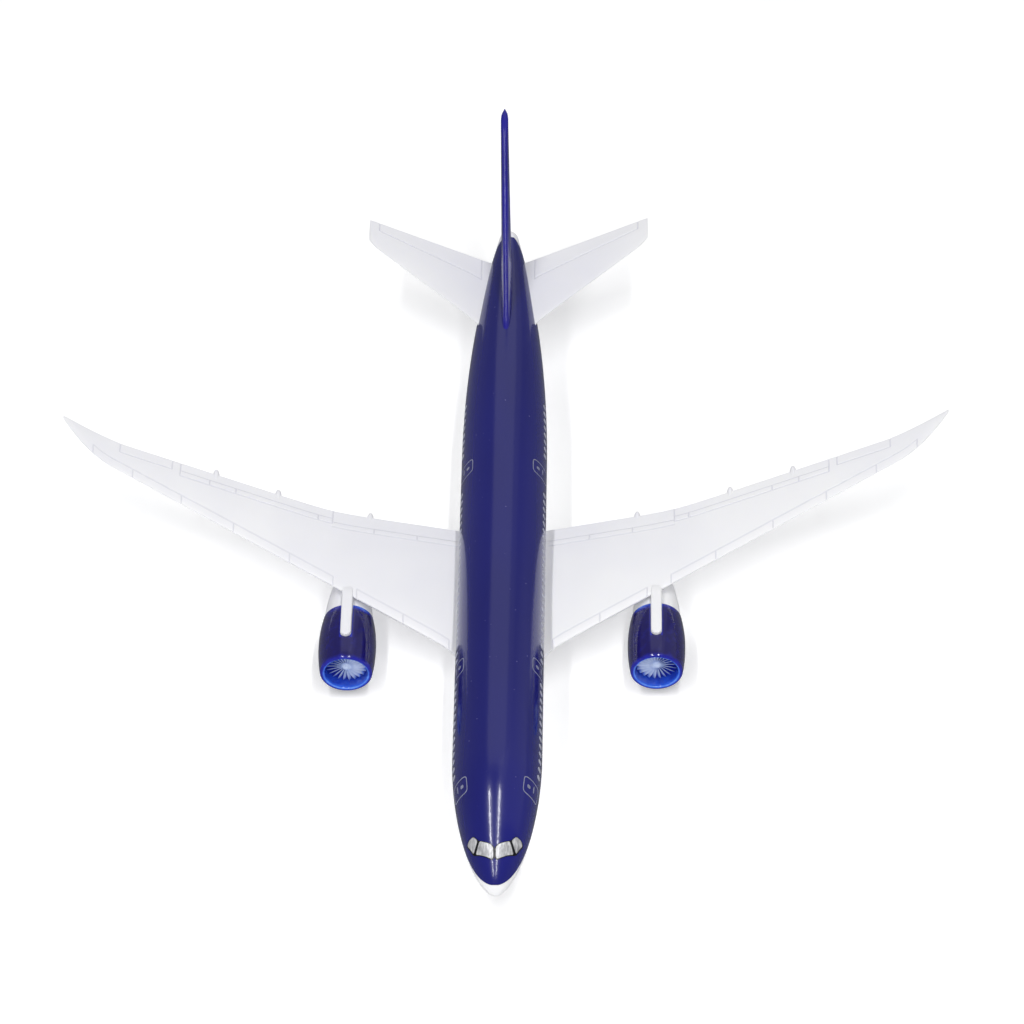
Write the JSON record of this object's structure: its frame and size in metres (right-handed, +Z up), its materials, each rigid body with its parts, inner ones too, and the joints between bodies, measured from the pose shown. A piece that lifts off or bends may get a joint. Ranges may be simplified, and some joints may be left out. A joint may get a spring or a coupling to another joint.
{
  "type": "desktop airliner model",
  "caption": "Small display model of a twin-engine widebody airliner: blue die-cast upper fuselage, white swept wings and tail, rolling landing gear, stand socket.",
  "frame": {"origin": "on the ground under the middle of the model's bounding box, on the centreline", "axes": "+X towards the port wing tip, -Y towards the nose, +Z up"},
  "size_m": [0.1502, 0.1436, 0.0443],
  "materials": {
    "blue_enamel": "gloss baked enamel on zinc die-casting",
    "white_abs": "white injection-moulded ABS, semi-gloss",
    "blue_fin": "royal blue moulded plastic, gloss",
    "cowl_paint": "thin translucent blue lacquer over white ABS",
    "fan_blue": "light blue wash over moulded blades",
    "leg_silver": "silver-grey painted plastic",
    "tyre_grey": "black moulded plastic, dull",
    "axle_steel": "drawn steel wire",
    "screw_steel": "nickel-plated steel screw"
  },
  "bodies": {
    "airframe": {"fuselage_upper": "blue_enamel", "fuselage_lower": "white_abs", "belly_fairing": "white_abs", "fin": "blue_fin", "wing_left": "white_abs", "wing_right": "white_abs", "tailplane_left": "white_abs", "tailplane_right": "white_abs", "engine_cowl_left": "cowl_paint", "engine_cowl_right": "cowl_paint", "engine_core_left": "white_abs", "engine_core_right": "white_abs", "fan_left": "fan_blue", "fan_right": "fan_blue", "nose_leg": "leg_silver", "main_leg_left": "leg_silver", "main_leg_right": "leg_silver", "case_screws": "screw_steel", "fairing_screws": "screw_steel"},
    "nose_wheelset": {"nose_axle": "axle_steel", "nose_wheels": "tyre_grey"},
    "main_wheelset_left_front": {"main_axle_left_front": "axle_steel", "main_wheels_left_front": "tyre_grey"},
    "main_wheelset_left_rear": {"main_axle_left_rear": "axle_steel", "main_wheels_left_rear": "tyre_grey"},
    "main_wheelset_right_front": {"main_axle_right_front": "axle_steel", "main_wheels_right_front": "tyre_grey"},
    "main_wheelset_right_rear": {"main_axle_right_rear": "axle_steel", "main_wheels_right_rear": "tyre_grey"}
  },
  "joints": [
    {"name": "nose_wheel_spin", "type": "hinge", "parent": "airframe", "child": "nose_wheelset", "pos_m": [0, -0.05704, 0.0013], "axis": [1, 0, 0], "continuous": true},
    {"name": "main_wheel_spin_left_front", "type": "hinge", "parent": "airframe", "child": "main_wheelset_left_front", "pos_m": [0.0122, 0.00081, 0.0017], "axis": [1, 0, 0], "continuous": true},
    {"name": "main_wheel_spin_left_rear", "type": "hinge", "parent": "airframe", "child": "main_wheelset_left_rear", "pos_m": [0.0122, 0.00471, 0.0017], "axis": [1, 0, 0], "continuous": true},
    {"name": "main_wheel_spin_right_front", "type": "hinge", "parent": "airframe", "child": "main_wheelset_right_front", "pos_m": [-0.0122, 0.00081, 0.0017], "axis": [1, 0, 0], "continuous": true},
    {"name": "main_wheel_spin_right_rear", "type": "hinge", "parent": "airframe", "child": "main_wheelset_right_rear", "pos_m": [-0.0122, 0.00471, 0.0017], "axis": [1, 0, 0], "continuous": true}
  ]
}
